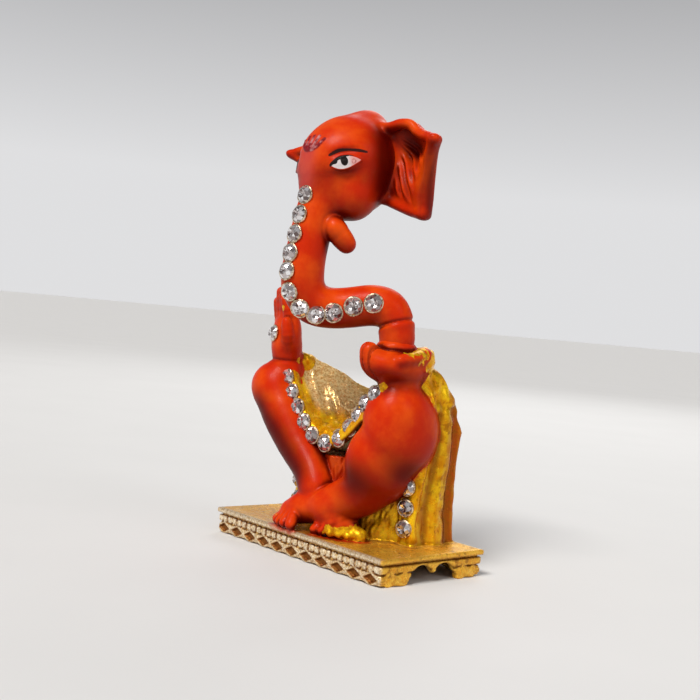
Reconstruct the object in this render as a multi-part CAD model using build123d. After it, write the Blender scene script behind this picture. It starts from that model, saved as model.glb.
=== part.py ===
from build123d import *
import math
import os

# Small cast-metal Ganesha idol: a crowned elephant head carried by its own trunk, two raised hands, a draped
# robe and crossed legs on a gold plinth, set with round rhinestones. All sizes are in millimetres.
# Frame: +Z up, the idol faces -Y, its left side is +X, and the origin is the middle of the plinth's underside.

# ---- Driving dimensions ----
PLINTH_WIDTH = 46.0
PLINTH_DEPTH = 24.4
PLINTH_HEIGHT = 4.65
PLINTH_WALL = 1.6
PLINTH_PLATE = 1.5
LIP_HEIGHT = 0.9
NECK_HEIGHT = 0.45
NECK_INSET = 0.75
FRIEZE_INSET = 0.35
BAR_COUNT = 15
DIAMOND_COUNT = 11
ARCH_HALF_WIDTH = 5.4
ARCH_HEIGHT = 2.9

STONE_DIAMETER = 2.8
STONE_CROWN = 0.75
STONE_GIRDLE = 0.2
STONE_PAVILION = 0.9
STONE_FACETS = 8
GARLAND_COUNT = 12
GARLAND_START = 0.07
FIRST_STONE_Y = -16.9

LEFT_CALF = (11.2, -3.0, 18.2)
LEFT_CALF_RADII = (6.0, 8.2, 7.6)
LEFT_THIGH = (13.2, -1.0, 23.8)
LEFT_THIGH_RADII = (5.5, 7.6, 8.2)
LEFT_KNEE = (13.0, -2.6, 27.6)
RIGHT_KNEE = (-15.4, -6.5, 28.6)
RIGHT_CALF = (-8.2, -6.8, 19.2)
KNEE_RADIUS = 4.4
RIGHT_PALM = (-13.9, -6.3, 0)
PALM_TURN = 14.0

ROBE_HALF_WIDTH = 14.5
ROBE_REAR = 11.6
LAP_FRONT = -6.4
LAP_LOW = 19.6
LAP_HIGH = 30.6
LAP_HALF_WIDTH = 13.6
LAP_THICKNESS = 2.0
LAP_PITCH = 28.0
RIM_HEIGHT = 34.2
RIM_FALL = 32.0

HEAD_CENTRE = (0, -6.9, 69.0)
HEAD_RADIUS = 9.35
EAR_ROOT = 7.6
EAR_Y = -2.8
EAR_THICKNESS = 2.0
EAR_TIP = (19.6, -5.3, 73.0)

TRUNK_LINE = [
    ((0, -12.8, 65.5), 4.4),
    ((0, -13.4, 62.0), 3.8),
    ((0, -14.3, 58.0), 3.5),
    ((0, -15.0, 54.0), 3.5),
    ((0, -15.3, 50.0), 3.5),
    ((0.2, -14.9, 46.8), 3.4),
    ((1.1, -12.9, 44.4), 3.3),
    ((3.1, -10.1, 43.9), 3.2),
    ((5.6, -7.6, 44.4), 3.2),
    ((8.0, -5.5, 45.0), 3.2),
    ((10.2, -3.9, 44.6), 3.1),
    ((11.5, -3.0, 42.6), 2.8),
    ((11.9, -2.8, 40.2), 2.6),
]
TRUNK_BEND_NORMAL = Vector(0.72, -0.69, 0)

RESTING = (Align.CENTER, Align.CENTER, Align.MIN)

os.makedirs("parts", exist_ok=True)


# ---- Shared shapes ----
def ellipsoid(centre, radii, tilt=(0, 0, 0)):
    """A ball stretched to three radii, turned about its own centre."""
    return Pos(*centre) * Rot(*tilt) * scale(Sphere(1), by=radii)


def ball(centre, radius):
    return Pos(*centre) * Sphere(radius)


def limb(start, start_radius, end, end_radius):
    """A round limb: two balls joined by a cone."""
    axis = Vector(*end) - Vector(*start)
    shaft = Solid.make_cone(start_radius, end_radius, axis.length, Plane(origin=start, z_dir=axis))
    return ball(start, start_radius) + shaft + ball(end, end_radius)


def oval_loft(sections):
    """A loft through level ovals, each given as (x, y, z, x radius, y radius)."""
    rings = [Pos(x, y, z) * Ellipse(rx, ry) for x, y, z, rx, ry in sections]
    return loft(rings)


def rounded_loft(sections):
    """A loft through level rounded rectangles, each given as (x0, x1, y0, y1, z, corner radius)."""
    slabs = []
    for x0, x1, y0, y1, z, corner in sections:
        slabs.append(Pos((x0 + x1) / 2, (y0 + y1) / 2, z) * RectangleRounded(x1 - x0, y1 - y0, corner))
    return loft(slabs)


def mirrored(shape):
    """The same piece on the idol's right side."""
    return mirror(shape, about=Plane.YZ)


def largest(shape):
    """The main solid, without slivers that a cut leaves."""
    return max(shape.solids(), key=lambda solid: solid.volume)


def stone(place, facing):
    """One round faceted stone: a table and crown above the girdle, a point sunk into its seat."""
    radius = STONE_DIAMETER / 2
    ring = RegularPolygon(radius, STONE_FACETS)
    table = Pos(0, 0, STONE_GIRDLE + STONE_CROWN) * RegularPolygon(radius * 0.55, STONE_FACETS)
    culet = Pos(0, 0, -STONE_PAVILION) * RegularPolygon(radius * 0.12, STONE_FACETS)
    girdle_top = Pos(0, 0, STONE_GIRDLE) * ring
    gem = loft([girdle_top, table], ruled=True) + extrude(ring, STONE_GIRDLE) + loft([culet, ring], ruled=True)
    frame = Plane(origin=place, z_dir=facing)
    return frame.location * gem


def stone_group(seats):
    """Separate stones, each given as (place, facing)."""
    return Compound(children=[largest(stone(place, facing)) for place, facing in seats])


# ---- Plinth ----
def plinth():
    """A hollow stepped block with a lipped top, bars over diamonds along its long sides, and arched ends."""
    lip_z = PLINTH_HEIGHT - LIP_HEIGHT
    frieze_z = lip_z - NECK_HEIGHT
    frieze_width = PLINTH_WIDTH - 2 * FRIEZE_INSET
    frieze_depth = PLINTH_DEPTH - 2 * FRIEZE_INSET
    body = Box(frieze_width, frieze_depth, frieze_z, align=RESTING)
    neck = Box(PLINTH_WIDTH - 2 * NECK_INSET, PLINTH_DEPTH - 2 * NECK_INSET, lip_z, align=RESTING)
    lip = Pos(0, 0, lip_z) * Box(PLINTH_WIDTH, PLINTH_DEPTH, LIP_HEIGHT, align=RESTING)
    hollow_height = PLINTH_HEIGHT - PLINTH_PLATE
    hollow = Box(PLINTH_WIDTH - 2 * PLINTH_WALL, PLINTH_DEPTH - 2 * PLINTH_WALL, hollow_height, align=RESTING)
    block = body + neck + lip - hollow

    bar_pitch = frieze_width / BAR_COUNT
    diamond_pitch = frieze_width / DIAMOND_COUNT
    diamond_height = frieze_z * 0.6
    bars = []
    diamonds = []
    for side in (-1, 1):
        face_y = side * frieze_depth / 2
        for index in range(BAR_COUNT):
            bar_x = (index + 0.5) * bar_pitch - frieze_width / 2
            bars.append(Pos(bar_x, face_y, frieze_z * 0.8) * Box(bar_pitch * 0.8, 2 * FRIEZE_INSET, 0.95))
        for index in range(DIAMOND_COUNT):
            diamond_x = (index + 0.5) * diamond_pitch - frieze_width / 2
            outline = Polyline(
                (-diamond_pitch * 0.42, 0),
                (0, -diamond_height * 0.4),
                (diamond_pitch * 0.42, 0),
                (0, diamond_height * 0.4),
                close=True,
            )
            rhombus = extrude(Plane.XZ * make_face(outline), 0.3, both=True)
            diamonds.append(Pos(diamond_x, face_y, diamond_height * 0.55) * rhombus)

    arch_radius = ARCH_HALF_WIDTH / 2
    arches = []
    for offset in (-1, 1):
        round_top = Pos(0, offset * arch_radius * 0.8, ARCH_HEIGHT - arch_radius) * Rot(0, 90, 0)
        arches.append(round_top * Cylinder(arch_radius, PLINTH_WIDTH + 2))
    foot_gap = Box(PLINTH_WIDTH + 2, 2 * ARCH_HALF_WIDTH, 0.9, align=RESTING)
    return largest(block + bars - diamonds - arches - foot_gap)


# ---- Robe ----
def lap_profile(lift):
    """The sagging line of the lap between the knees, raised by lift."""
    return [
        (-LAP_HALF_WIDTH, LAP_HIGH + lift),
        (-LAP_HALF_WIDTH * 0.6, LAP_LOW + 0.42 * (LAP_HIGH - LAP_LOW) + lift),
        (0, LAP_LOW + lift),
        (LAP_HALF_WIDTH * 0.6, LAP_LOW + 0.42 * (LAP_HIGH - LAP_LOW) + lift),
        (LAP_HALF_WIDTH, LAP_HIGH + lift),
    ]


def lap_sweep(low, high, start_y, run):
    """The space between two lap lines, drawn back and up along the slope of the lap."""
    lower = Spline(*lap_profile(low))
    upper = Spline(*lap_profile(high))
    ends = [Line(lower @ 0, upper @ 0), Line(lower @ 1, upper @ 1)]
    outline = make_face([lower, upper] + ends)
    climb = Vector(0, run, run * math.tan(math.radians(LAP_PITCH)))
    slope = (start_y - LAP_FRONT) * math.tan(math.radians(LAP_PITCH))
    section = Pos(0, start_y, slope) * (Plane.XZ * outline)
    return extrude(section, climb.length, dir=climb.normalized())


def above_rim():
    """The space over the robe's rim, which falls away from the wrists to the rear."""
    return Pos(0, 0, RIM_HEIGHT) * Rot(-RIM_FALL, 0, 0) * Box(60, 60, 20, align=RESTING)


def lap_cloth():
    return lap_sweep(0, LAP_THICKNESS, LAP_FRONT, 8.6) - above_rim()


def robe_back():
    """The robe's rear wall: a rounded block whose top dips into the lap and falls away to the rear."""
    wide = ROBE_HALF_WIDTH
    mass = rounded_loft(
        [
            (-wide, wide, 2.2, ROBE_REAR, PLINTH_HEIGHT, 3.0),
            (-wide + 0.4, wide - 0.4, 2.2, ROBE_REAR - 0.1, 16.0, 3.0),
            (-wide + 0.6, wide - 0.6, 2.2, ROBE_REAR - 0.6, 24.0, 3.0),
            (-wide + 1.0, wide - 1.0, 1.2, ROBE_REAR - 2.6, 35.0, 3.0),
        ]
    )
    return mass - lap_sweep(LAP_THICKNESS, 30, LAP_FRONT, 20) - above_rim()


def seat_outline(half_width, front_y, height):
    """The plan of the lower robe at one height: bowed at the front, straight across the rear."""
    side_y = 2.4
    shoulder_y = side_y - 0.62 * (side_y - front_y)
    front = Spline(
        (-half_width, side_y),
        (-0.7 * half_width, shoulder_y),
        (0, front_y),
        (0.7 * half_width, shoulder_y),
        (half_width, side_y),
    )
    return Pos(0, 0, height) * make_face([front, Line(front @ 1, front @ 0)])


def robe_seat():
    """The lower robe under the crossed legs, with two pegs that drop into the plinth."""
    mass = loft([seat_outline(13.5, -3.8, PLINTH_HEIGHT), seat_outline(12.5, -3.0, PLINTH_HEIGHT + 13.5)])
    pegs = [Pos(x, 0.6, PLINTH_HEIGHT - 1.1) * Cylinder(1.2, 2.4) for x in (-6, 6)]
    return mass + pegs


def left_drape():
    """The fold bundle that hangs from the left wrist to the plinth."""
    return rounded_loft(
        [
            (12.6, 17.6, 0.2, 11.8, PLINTH_HEIGHT, 1.8),
            (12.8, 16.4, 0.2, 11.6, 9.0, 1.6),
            (13.0, 16.2, 0.6, 11.5, 16.0, 1.5),
            (13.2, 16.3, 1.6, 11.3, 24.0, 1.5),
            (13.0, 16.2, 1.2, 9.0, 30.0, 1.5),
            (12.8, 15.6, 0.6, 5.8, 35.5, 1.3),
        ]
    )


def right_drape():
    """The fold bundle that hangs from the right wrist, which is lower and further forward."""
    return rounded_loft(
        [
            (-17.6, -12.6, 0.2, 11.8, PLINTH_HEIGHT, 1.8),
            (-16.4, -12.8, 0.2, 11.6, 9.0, 1.5),
            (-16.2, -13.0, 0.4, 11.5, 16.0, 1.5),
            (-16.2, -13.0, 0.4, 11.0, 24.0, 1.4),
            (-16.0, -12.8, -0.6, 7.6, 30.0, 1.4),
            (-15.2, -12.4, -2.4, 2.0, 34.5, 1.2),
        ]
    )


# ---- Limbs ----
def left_leg():
    """The left leg, folded flat: calf and thigh as one egg, the knee on top and the shin running in."""
    calf = ellipsoid(LEFT_CALF, LEFT_CALF_RADII) + ellipsoid(LEFT_THIGH, LEFT_THIGH_RADII)
    shin = limb((9.6, -5.6, 15.0), 4.0, (4.7, -6.8, 10.6), 2.8)
    return calf + ball(LEFT_KNEE, KNEE_RADIUS) + shin


def right_leg():
    """The right leg, its knee raised: a shin running down to the middle and a thigh running back."""
    shin = limb(RIGHT_KNEE, KNEE_RADIUS, RIGHT_CALF, 3.8)
    ankle = limb(RIGHT_CALF, 3.8, (-1.4, -7.2, 11.8), 2.9)
    thigh = limb(RIGHT_KNEE, KNEE_RADIUS, (-11.2, 2.6, 23.0), 4.6)
    return shin + ankle + thigh


def left_foot():
    """The left foot, crossed in front and pointing to the idol's right."""
    heel = limb((3.0, -7.2, 8.8), 2.9, (-2.0, -9.0, 8.0), 2.6)
    return heel + limb((-2.0, -9.0, 8.0), 2.6, (-5.2, -9.8, 6.9), 2.1)


def right_foot():
    """The right foot, crossed behind and pointing to the idol's left."""
    heel = limb((0.6, -6.4, 8.4), 2.6, (5.0, -6.2, 7.4), 2.2)
    return heel + limb((5.0, -6.2, 7.4), 2.2, (8.6, -5.2, 6.3), 1.5)


def left_hand():
    """A palm-up hand on the left knee, its fingers turned up at the front."""
    palm = ellipsoid((12.6, -3.2, 34.9), (4.5, 6.2, 3.0), (-6, 0, 0))
    fingers = limb((12.0, -7.0, 36.0), 2.3, (11.6, -8.4, 37.2), 1.6)
    wrist = limb((12.8, -2.0, 31.0), 3.0, (12.8, -1.8, 34.0), 2.8)
    return palm + fingers + wrist


def right_hand():
    """A raised hand on the right knee, its palm to the front."""
    upright = oval_loft(
        [
            (0.8, 1.0, 31.5, 2.6, 2.3),
            (0.5, 0.5, 35.0, 3.0, 2.4),
            (0.0, 0.0, 39.0, 3.3, 2.2),
            (-0.4, -0.4, 43.0, 3.0, 1.9),
            (-0.6, -0.9, 46.0, 2.3, 1.4),
            (-0.6, -1.1, 47.3, 1.2, 0.8),
        ]
    )
    return Pos(*RIGHT_PALM) * Rot(0, 0, -PALM_TURN) * upright


def left_cuff():
    return ellipsoid((14.6, 2.8, 37.0), (1.9, 2.2, 2.3))


def right_cuff():
    return ellipsoid((-13.6, -1.4, 35.2), (1.9, 2.0, 2.6))


def sweet():
    """The round sweet that the trunk's tip rests on."""
    return ellipsoid((12.3, -2.7, 38.7), (2.9, 3.0, 2.0))


# ---- Head ----
def trunk():
    """The trunk: down the front from the brow, then back to the left hand."""
    points = [Vector(*point) for point, radius in TRUNK_LINE]
    path = Spline(*points)
    rings = []
    for (point, radius) in TRUNK_LINE:
        tangent = path.tangent_at(path.param_at_point(Vector(*point)))
        ring_plane = Plane(origin=point, x_dir=TRUNK_BEND_NORMAL, z_dir=tangent)
        rings.append(ring_plane * Circle(radius))
    return loft(rings)


def head():
    """The skull, brow, crown bump and cheeks."""
    shape = ball(HEAD_CENTRE, HEAD_RADIUS) + ball((0, -10.4, 69.4), 6.6) + ball((0, -2.8, 76.1), 3.4)
    for side in (-1, 1):
        shape += ball((side * 4.6, -9.4, 62.6), 4.4)
    return shape


def left_ear():
    """A broad ear, flat but for the upper outer corner, which is drawn out forward to a point."""
    edge = Spline(
        (EAR_ROOT, 76.6),
        (10.6, 77.2),
        (13.8, 76.5),
        (16.8, 74.6),
        (17.4, 70.0),
        (16.6, 66.0),
        (15.6, 62.0),
        (14.6, 60.5),
        (11.6, 60.9),
        (EAR_ROOT, 62.2),
    )
    outline = make_face([edge, Line(edge @ 1, edge @ 0)])
    plate = extrude(Plane.XZ * outline, EAR_THICKNESS / 2, both=True)
    return Pos(0, EAR_Y, 0) * plate + limb((15.8, EAR_Y - 0.4, 72.2), 1.6, EAR_TIP, 0.5)


def left_tusk():
    return limb((4.2, -12.0, 59.2), 2.1, (4.8, -10.2, 55.6), 1.45)


# ---- Stones ----
FRONT = Vector(0, -1, 0)
OUTWARD = Vector(0.72, -0.69, 0)


def trunk_stones():
    """Eleven stones that follow the trunk from the brow to near its tip."""
    seats = []
    for index in range(5):
        height = 62.6 - 3.28 * index
        depth = FIRST_STONE_Y - 0.42 * index
        seats.append(((0, depth, height), FRONT))
    seats.append(((0.4, -18.0, 46.1), Vector(0.2, -0.95, -0.2)))
    seats.append(((2.4, -15.8, 43.7), Vector(0.62, -0.77, -0.15)))
    for x, y, z in [(3.2, -10.2, 43.2), (5.5, -7.7, 43.6), (7.9, -5.6, 44.6), (10.2, -4.0, 45.2)]:
        seats.append((Vector(x, y, z) + OUTWARD * 3.1, OUTWARD))
    return stone_group(seats)


def palm_stone():
    return stone_group([((-14.7, -8.5, 38.5), Vector(-0.25, -0.97, 0.05))])


def garland_stones():
    """Stones along the front edge of the lap, close together."""
    line = Spline(*[(x, LAP_FRONT, z) for x, z in lap_profile(LAP_THICKNESS / 2)])
    seats = []
    for index in range(GARLAND_COUNT):
        fraction = GARLAND_START + (1 - 2 * GARLAND_START) * index / (GARLAND_COUNT - 1)
        seats.append((line @ fraction, FRONT))
    return stone_group(seats)


def left_drape_stones():
    """Four stones up the front edge of the side fold."""
    return stone_group([((14.8, 0.2, z), Vector(0.25, -1, 0)) for z in (7.3, 10.9, 14.5, 18.1)])


# ---- Assembly ----
def fitted(shape, *neighbours):
    """A piece with room cut for the pieces that it holds or rests on."""
    for neighbour in neighbours:
        shape = shape - neighbour
    return largest(shape)


stones_on_trunk = trunk_stones()
stone_in_palm = palm_stone()
stones_on_garland = garland_stones()
stones_on_left = left_drape_stones()
stones_on_right = mirrored(stones_on_left)

round_sweet = sweet()
leg_left = fitted(left_leg(), stones_on_left, stones_on_garland)
leg_right = fitted(right_leg(), stones_on_right, stones_on_garland)
foot_left = fitted(left_foot(), leg_left, leg_right)
foot_right = fitted(right_foot(), leg_left, leg_right, foot_left)
hand_left = fitted(left_hand(), leg_left, round_sweet)
hand_right = fitted(right_hand(), leg_right, stone_in_palm)
cuff_left = fitted(left_cuff(), hand_left, leg_left)
cuff_right = fitted(right_cuff(), hand_right, leg_right)
seat = fitted(robe_seat(), leg_left, leg_right, foot_left, foot_right)
drape_left = fitted(left_drape(), leg_left, hand_left, cuff_left, seat, stones_on_left)
drape_right = fitted(right_drape(), leg_right, hand_right, cuff_right, seat, stones_on_right)
cloth = fitted(lap_cloth(), leg_left, leg_right, hand_left, hand_right, cuff_left, cuff_right,
               drape_left, drape_right, seat, stones_on_garland)
back = fitted(robe_back(), leg_left, leg_right, hand_left, hand_right, cuff_left, cuff_right,
              drape_left, drape_right, seat, cloth)

whole_trunk = trunk()
skull = fitted(head(), whole_trunk, stones_on_trunk)
tusk_left = fitted(left_tusk(), whole_trunk, skull)
tusk_right = fitted(mirrored(left_tusk()), whole_trunk, skull)
ear_left = fitted(left_ear(), skull)

nodes = {
    "plinth": fitted(plinth(), seat),
    "robe_seat": seat,
    "robe_back": back,
    "lap_cloth": cloth,
    "left_drape": drape_left,
    "right_drape": drape_right,
    "left_leg": leg_left,
    "right_leg": leg_right,
    "left_foot": foot_left,
    "right_foot": foot_right,
    "left_hand": hand_left,
    "right_hand": hand_right,
    "left_cuff": cuff_left,
    "right_cuff": cuff_right,
    "sweet": fitted(round_sweet, whole_trunk),
    "trunk": fitted(whole_trunk, stones_on_trunk),
    "head": skull,
    "left_ear": ear_left,
    "right_ear": mirrored(ear_left),
    "left_tusk": tusk_left,
    "right_tusk": tusk_right,
    "trunk_stones": stones_on_trunk,
    "palm_stone": stone_in_palm,
    "garland_stones": stones_on_garland,
    "left_drape_stones": stones_on_left,
    "right_drape_stones": stones_on_right,
}
for name, shape in nodes.items():
    export_step(shape, f"parts/{name}.step")
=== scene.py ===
"""A small cast idol in red enamel, gold lacquer and rhinestones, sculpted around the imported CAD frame.

Each cast piece is a signed distance field in millimetres, meshed with a surface net. Neighbouring
pieces share one blended field, so that they meet in soft cast joints without a gap.
"""
import functools
import math

import bpy
import numpy as np
from mathutils import Euler, Matrix, Vector


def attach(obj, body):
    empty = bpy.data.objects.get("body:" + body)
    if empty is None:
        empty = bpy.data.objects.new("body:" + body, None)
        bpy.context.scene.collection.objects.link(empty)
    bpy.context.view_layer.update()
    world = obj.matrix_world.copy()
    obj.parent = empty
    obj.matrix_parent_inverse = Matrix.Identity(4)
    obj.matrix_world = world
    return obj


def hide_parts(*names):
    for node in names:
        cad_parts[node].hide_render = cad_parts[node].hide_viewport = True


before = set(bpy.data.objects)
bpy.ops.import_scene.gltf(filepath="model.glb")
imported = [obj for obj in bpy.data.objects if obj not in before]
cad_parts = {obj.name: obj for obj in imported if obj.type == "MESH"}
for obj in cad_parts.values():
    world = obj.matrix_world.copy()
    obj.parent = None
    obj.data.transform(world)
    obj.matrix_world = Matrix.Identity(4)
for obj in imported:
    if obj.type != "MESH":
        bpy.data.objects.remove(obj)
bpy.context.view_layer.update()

MM = 0.001
PLINTH_TOP = 4.65
STEP = 0.25  # pitch of the meshing grid
OVERLAP = 0.4  # how far neighbouring pieces reach into each other
DIVE = 0.1  # how deep a piece lies under its neighbour's skin there


# ---- Field toolkit ----
def blend(a, b, soft):
    """The union of two fields with a fillet about as wide as soft."""
    if soft <= 0:
        return np.minimum(a, b)
    gap = np.maximum(soft - np.abs(a - b), 0.0) / soft
    return np.minimum(a, b) - gap * gap * soft * 0.25


def common(a, b, soft):
    """What two fields share, with a softened edge."""
    return -blend(-a, -b, soft)


def carve(a, b, soft):
    """Field a without b, with a softened edge."""
    return common(a, -b, soft)


def join(shapes, soft):
    """The union of several fields, blended in turn."""
    return functools.reduce(lambda whole, shape: blend(whole, shape, soft), shapes)


def smooth(value, low, high):
    """0 at low, 1 at high, eased between; low may be above high."""
    t = np.clip((value - low) / (high - low), 0.0, 1.0)
    return t * t * (3.0 - 2.0 * t)


def ball(p, centre, radius):
    return np.sqrt(sum((p[i] - centre[i]) ** 2 for i in range(3))) - radius


def local(p, centre, spin):
    """The point in axes turned by spin (degrees about X, Y, Z) at centre."""
    turn = Euler([math.radians(a) for a in spin]).to_matrix()
    q = [p[i] - centre[i] for i in range(3)]
    return [sum(turn[i][j] * q[i] for i in range(3)) for j in range(3)]


def egg(p, centre, radii, spin=(0, 0, 0)):
    """An ellipsoid."""
    q = local(p, centre, spin) if any(spin) else [p[i] - centre[i] for i in range(3)]
    near = np.sqrt(sum((q[i] / radii[i]) ** 2 for i in range(3)))
    steep = np.sqrt(sum((q[i] / radii[i] ** 2) ** 2 for i in range(3)))
    core = 0.2  # the share of the radii inside which the field is levelled off
    return (near - 1.0) * np.maximum(near, core) / np.maximum(steep, core / max(radii))


def rod(p, a, b, start_radius, end_radius):
    """A limb with round ends and an even taper."""
    d = [b[i] - a[i] for i in range(3)]
    length = sum(c * c for c in d)
    t = np.clip(sum((p[i] - a[i]) * d[i] for i in range(3)) / length, 0.0, 1.0)
    away = np.sqrt(sum((p[i] - a[i] - d[i] * t) ** 2 for i in range(3)))
    return away - start_radius - (end_radius - start_radius) * t


def curve(stops, steps):
    """Points along a smooth curve through stops, any number of values each."""
    rows = np.array([stops[0]] + list(stops) + [stops[-1]], dtype=float)
    points = []
    for a, b, c, d in zip(rows, rows[1:], rows[2:], rows[3:]):
        for t in np.arange(steps) / steps:
            point = 2 * b + (c - a) * t + (2 * a - 5 * b + 4 * c - d) * t * t
            points.append(0.5 * (point + (3 * b - a - 3 * c + d) * t ** 3))
    points.append(rows[-1])
    return np.array(points)


def chain(p, stops, steps=4, soft=0.5):
    """A round limb along a smooth curve; each stop is (x, y, z, radius)."""
    path = curve(stops, steps)
    return join((rod(p, a, b, a[3], b[3]) for a, b in zip(path, path[1:])), soft)


def polygon(a, b, outline):
    """Distance to a closed outline in a plane, negative inside."""
    best = np.full(np.broadcast(a, b).shape, np.inf)
    inside = np.zeros(best.shape, dtype=bool)
    for (x0, y0), (x1, y1) in zip(outline, outline[1:] + outline[:1]):
        ex, ey = x1 - x0, y1 - y0
        t = np.clip(((a - x0) * ex + (b - y0) * ey) / (ex * ex + ey * ey), 0.0, 1.0)
        best = np.minimum(best, (a - x0 - ex * t) ** 2 + (b - y0 - ey * t) ** 2)
        crosses = ((b >= y0) != (b >= y1)) & (a < x0 + (b - y0) * ex / (ey or 1e-9))
        inside ^= crosses
    return np.where(inside, -1.0, 1.0) * np.sqrt(best)


def brick(p, low, high, corner):
    """A box with rounded edges."""
    q = [np.abs(p[i] - (low[i] + high[i]) / 2) - (high[i] - low[i]) / 2 + corner for i in range(3)]
    outside = np.sqrt(sum(np.maximum(c, 0.0) ** 2 for c in q))
    return outside + np.minimum(np.maximum(np.maximum(q[0], q[1]), q[2]), 0.0) - corner


def column(p, sections, corner, edge=2.2):
    """An upright rounded block whose plan (x0, x1, y0, y1) changes with height z; edge softens its ends."""
    heights = [s[4] for s in sections]
    x0, x1, y0, y1 = [np.interp(p[2], heights, [s[i] for s in sections]) for i in range(4)]
    qx = np.abs(p[0] - (x0 + x1) / 2) - (x1 - x0) / 2 + corner
    qy = np.abs(p[1] - (y0 + y1) / 2) - (y1 - y0) / 2 + corner
    outside = np.sqrt(np.maximum(qx, 0) ** 2 + np.maximum(qy, 0) ** 2)
    plan = outside + np.minimum(np.maximum(qx, qy), 0.0) - corner
    return common(plan, np.maximum(heights[0] - p[2], p[2] - heights[-1]), edge)


def near_line(p, a, b, reach):
    """1 on the line from a to b, fading out about reach away from it."""
    return np.exp(-(rod(p, a, b, 0.0, 0.0) / reach) ** 2)


def grain(p, size, seed, waves=7):
    """Smooth uneven noise, about -1 to 1, with features of the given size."""
    random = np.random.default_rng(seed)
    total = 0.0
    for _ in range(waves):
        way = random.normal(size=3)
        way *= math.tau / size / np.linalg.norm(way) * random.uniform(0.6, 1.4)
        total = total + np.sin(p[0] * way[0] + p[1] * way[1] + p[2] * way[2] + random.uniform(0, 6.3))
    return total / (waves / 2)


def mirrored(p):
    return (-p[0], p[1], p[2])


def folded(p):
    """The point brought to the +X side, so that both sides are alike."""
    return (np.abs(p[0]), p[1], p[2])


# ---- Head, trunk, ears and tusks ----
EYE_ALONG = np.array((0.62, 0.74, 0.27))
EYE_OUT = np.array((0.73, -0.67, 0.15))
EYE_UP = np.cross(EYE_OUT, EYE_ALONG)
EYE_LENGTH = 2.5
BROW = ((4.1, 69.5, 0.16), (4.9, 70.15, 0.30), (5.7, 70.5, 0.32), (6.9, 70.75, 0.24), (7.9, 70.6, 0.10))
MARK_TOPS = ((0.0, 72.9), (1.25, 72.8), (2.5, 72.3))
MARK_BOW = ((0.0, 70.3), (1.0, 70.5), (1.9, 71.1))


def skull(p):
    """The crown, the brow, the bump on top and the cheeks."""
    q = folded(p)
    d = egg(q, (0, -6.7, 69.0), (8.6, 8.6, 8.85))
    d = blend(d, ball(q, (0, -10.5, 69.3), 5.2), 2.0)
    d = blend(d, ball(q, (0, -2.8, 76.0), 3.4), 3.4)
    return blend(d, ball(q, (4.3, -8.9, 62.8), 3.6), 3.0)


def on_front(x, z):
    """The point of the skull's front at x, z."""
    y = np.linspace(-19.0, -8.0, 1101)
    inside = skull((np.full_like(y, x), y, np.full_like(y, z))) < 0
    return (x, float(y[inside.argmax()]), z)


EYE = np.array(on_front(6.2, 68.4))


def eye_axes(p):
    """Distances along the eye, up from it and out of it; both sides of the head alike."""
    q = folded(p)
    return [sum((q[i] - EYE[i]) * way[i] for i in range(3)) for way in (EYE_ALONG, EYE_UP, EYE_OUT)]


def almond(along, up):
    """The eye opening, negative inside."""
    span = 1.0 - np.clip(along / EYE_LENGTH, -1.3, 1.3) ** 2
    return np.maximum(up - 0.95 * span - 0.1, -(0.95 - 0.14 * along) * span - 0.1 - up)


def mark_strokes(p):
    """Plain upright strokes on the forehead that join in a bow below."""
    q = folded(p)
    strokes = [rod(q, on_front(x * 0.75, 70.9 + 0.12 * x), on_front(x, top), 0.30, 0.24)
               for x, top in MARK_TOPS]
    bow = [(*on_front(x, z), 0.24) for x, z in MARK_BOW]
    return np.minimum(join(strokes, 0.0), chain(q, bow, 3, 0.1))


def head(p):
    axes = eye_axes(p)
    along, up, out = axes

    def near_eye(centre, radii):
        """An ellipsoid in the eye's axes, in units of its radii."""
        return np.sqrt(sum(((axes[i] - centre[i]) / radii[i]) ** 2 for i in range(3))) - 1.0

    below = near_eye((0, -2.3, 0.9), (3.4, 1.1, 1.25))
    above = near_eye((0, 1.9, 0.75), (3.6, 0.8, 0.9))
    globe = near_eye((0, 0, -0.55), (2.7, 1.5, 1.05))
    d = blend(carve(carve(skull(p), below, 0.9), above * 0.8, 0.6), globe, 0.3)
    lid = np.sqrt(almond(along, up) ** 2 + (out - 0.28 + 0.07 * along ** 2) ** 2) - 0.2
    d = blend(d, np.maximum(lid, np.abs(along) - 2.7), 0.15)
    return blend(d, mark_strokes(p), 0.12)


TRUNK_LINE = [
    (0, -11.9, 65.8, 3.9), (0, -12.3, 62.7, 3.35), (0, -13.3, 59.2, 3.25), (0, -14.05, 55.7, 3.2),
    (0, -14.6, 52.6, 3.2), (0, -14.9, 49.6, 3.35), (0.2, -14.6, 46.8, 3.35), (1.1, -12.9, 44.4, 3.3),
    (3.1, -10.1, 43.9, 3.2), (5.6, -7.6, 44.4, 3.2), (8.0, -5.5, 45.0, 3.2), (10.2, -3.9, 44.6, 3.1),
    (11.5, -3.0, 42.6, 2.8), (12.0, -2.8, 40.4, 2.65), (12.1, -2.8, 38.9, 2.7),
]
TRUNK_TIP_CREASE = (11.6, -2.95, 41.9)
TRUNK_TIP_WAY = (0.30, 0.14, -0.94)


def trunk(p):
    """The round trunk, with a crease and a lip near its tip."""
    d = chain(p, TRUNK_LINE, 3, 0.8)
    along = sum((p[i] - TRUNK_TIP_CREASE[i]) * TRUNK_TIP_WAY[i] for i in range(3))
    lip = 0.08 * np.exp(-((along - 0.6) / 0.7) ** 2) - 0.3 * np.exp(-((along + 0.25) / 0.35) ** 2)
    return d - lip * smooth(ball(p, TRUNK_TIP_CREASE, 0.0), 6.0, 4.0)


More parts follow.
